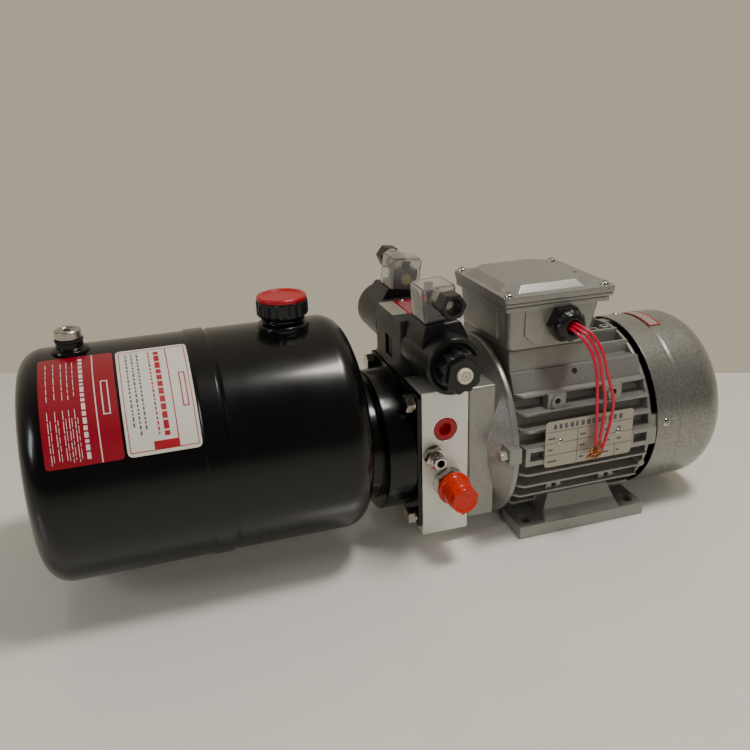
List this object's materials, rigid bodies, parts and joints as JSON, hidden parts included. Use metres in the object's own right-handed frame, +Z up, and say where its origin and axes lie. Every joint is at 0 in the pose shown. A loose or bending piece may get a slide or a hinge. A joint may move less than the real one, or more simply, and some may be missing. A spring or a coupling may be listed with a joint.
{
  "type": "hydraulic power unit",
  "caption": "Oil tank, manifold block with a solenoid valve and a gear pump, and the foot-mounted electric motor that drives the pump.",
  "frame": {"origin": "centre of the unit's box, on the plane under the feet", "axes": "+X along the shaft from the tank to the motor, +Z up, -Y towards the side with the ports"},
  "size_m": [0.573, 0.22, 0.2258],
  "materials": {
    "black_enamel": "gloss black enamel",
    "zinc": "zinc plated",
    "red_plastic": "gloss red",
    "orange_plastic": "gloss orange-red",
    "black_plastic": "moulded black",
    "black_rubber": "matte",
    "machined_aluminium": "fine machined",
    "cast_aluminium": "cast and painted silver",
    "dark_steel": "phosphated dark grey",
    "steel": "ground",
    "clear_plastic": "clear moulded plastic",
    "winding": "lacquered winding on a steel core",
    "lead_red": "gloss insulation"
  },
  "bodies": {
    "root": {"cable_gland": "black_plastic", "coil_front": "black_plastic", "coil_nut_front": "black_plastic", "coil_nut_rear": "black_plastic", "coil_rear": "black_plastic", "connector_insert_front": "black_plastic", "connector_insert_rear": "black_plastic", "connector_nut_front": "black_plastic", "connector_nut_rear": "black_plastic", "connector_shell_front": "clear_plastic", "connector_shell_rear": "clear_plastic", "core_tube_front": "steel", "core_tube_rear": "steel", "fan_cover": "cast_aluminium", "filler_bung": "black_enamel", "flange_bolt_1": "zinc", "flange_bolt_2": "zinc", "flange_bolt_3": "zinc", "flange_bolt_4": "zinc", "foot_front": "cast_aluminium", "foot_rear": "cast_aluminium", "front_bearing": "steel", "gauge_adaptor": "zinc", "lead_1": "lead_red", "lead_2": "lead_red", "lead_3": "lead_red", "level_bung": "black_enamel", "lid_gasket": "black_rubber", "manifold_block": "machined_aluminium", "motor_front_shield": "cast_aluminium", "motor_housing": "cast_aluminium", "motor_rear_shield": "cast_aluminium", "outlet_fitting": "zinc", "pump_body": "cast_aluminium", "pump_cover": "cast_aluminium", "rating_plate": "zinc", "rear_bearing": "steel", "stator": "winding", "suction_strainer": "steel", "tank_left_shell": "black_enamel", "tank_neck": "black_enamel", "tank_right_shell": "black_enamel", "terminal_base": "cast_aluminium", "terminal_block": "black_plastic", "terminal_lid": "cast_aluminium", "valve_body": "dark_steel"},
    "rotor": {"rotor": "steel", "cooling_fan": "black_plastic", "shaft_coupling": "steel", "pump_drive_gear": "steel"},
    "idler": {"pump_idler_gear": "steel"},
    "spool": {"valve_spool": "steel"},
    "override_front": {"override_pin_front": "steel"},
    "override_rear": {"override_pin_rear": "steel"},
    "filler_seal_body": {"filler_seal": "black_rubber"},
    "filler_cap_body": {"filler_cap": "black_plastic"},
    "level_seal_body": {"level_seal": "black_rubber"},
    "level_plug_body": {"level_plug": "zinc"},
    "outlet_cap_body": {"outlet_cap": "orange_plastic"},
    "port_plug_body": {"port_plug": "red_plastic"}
  },
  "joints": [
    {"name": "rotor_spin", "type": "hinge", "parent": "root", "child": "rotor", "pos_m": [0.15285, -0.01, 0.08], "axis": [1, 0, 0], "continuous": true},
    {"name": "idler_spin", "type": "hinge", "parent": "root", "child": "idler", "pos_m": [-0.01615, -0.01, 0.06], "axis": [1, 0, 0], "continuous": true},
    {"name": "spool_slide", "type": "slide", "parent": "root", "child": "spool", "axis": [0, 1, 0], "range_m": [-0.003, 0.003], "stiffness_N_per_m": 400},
    {"name": "override_front_press", "type": "slide", "parent": "root", "child": "override_front", "axis": [0, 1, 0], "range_m": [0, 0.003], "stiffness_N_per_m": 400, "springref_m": -0.002},
    {"name": "override_rear_press", "type": "slide", "parent": "root", "child": "override_rear", "axis": [0, -1, 0], "range_m": [0, 0.003], "stiffness_N_per_m": 400, "springref_m": -0.002},
    {"name": "filler_cap_rise", "type": "slide", "parent": "root", "child": "filler_seal_body", "axis": [0, 0, 1], "range_m": [0, 0.0126]},
    {"name": "filler_cap_turn", "type": "hinge", "parent": "filler_seal_body", "child": "filler_cap_body", "pos_m": [-0.08725, -0.01, 0.208], "axis": [0, 0, 1], "range_deg": [0, 1800]},
    {"name": "level_plug_rise", "type": "slide", "parent": "root", "child": "level_seal_body", "axis": [0, 0, 1], "range_m": [0, 0.0121]},
    {"name": "level_plug_turn", "type": "hinge", "parent": "level_seal_body", "child": "level_plug_body", "pos_m": [-0.24525, -0.01, 0.204], "axis": [0, 0, 1], "range_deg": [0, 2880]},
    {"name": "outlet_cap_pull", "type": "slide", "parent": "root", "child": "outlet_cap_body", "axis": [0, -1, 0], "range_m": [0, 0.02]},
    {"name": "port_plug_pull", "type": "slide", "parent": "root", "child": "port_plug_body", "axis": [0, -1, 0], "range_m": [0, 0.01]}
  ],
  "couplings": [
    {"joint": "idler_spin", "follows": "rotor_spin", "ratio": -1},
    {"joint": "filler_cap_rise", "follows": "filler_cap_turn", "m_per_rad": 0.00039789},
    {"joint": "level_plug_rise", "follows": "level_plug_turn", "m_per_rad": 0.00023873}
  ]
}
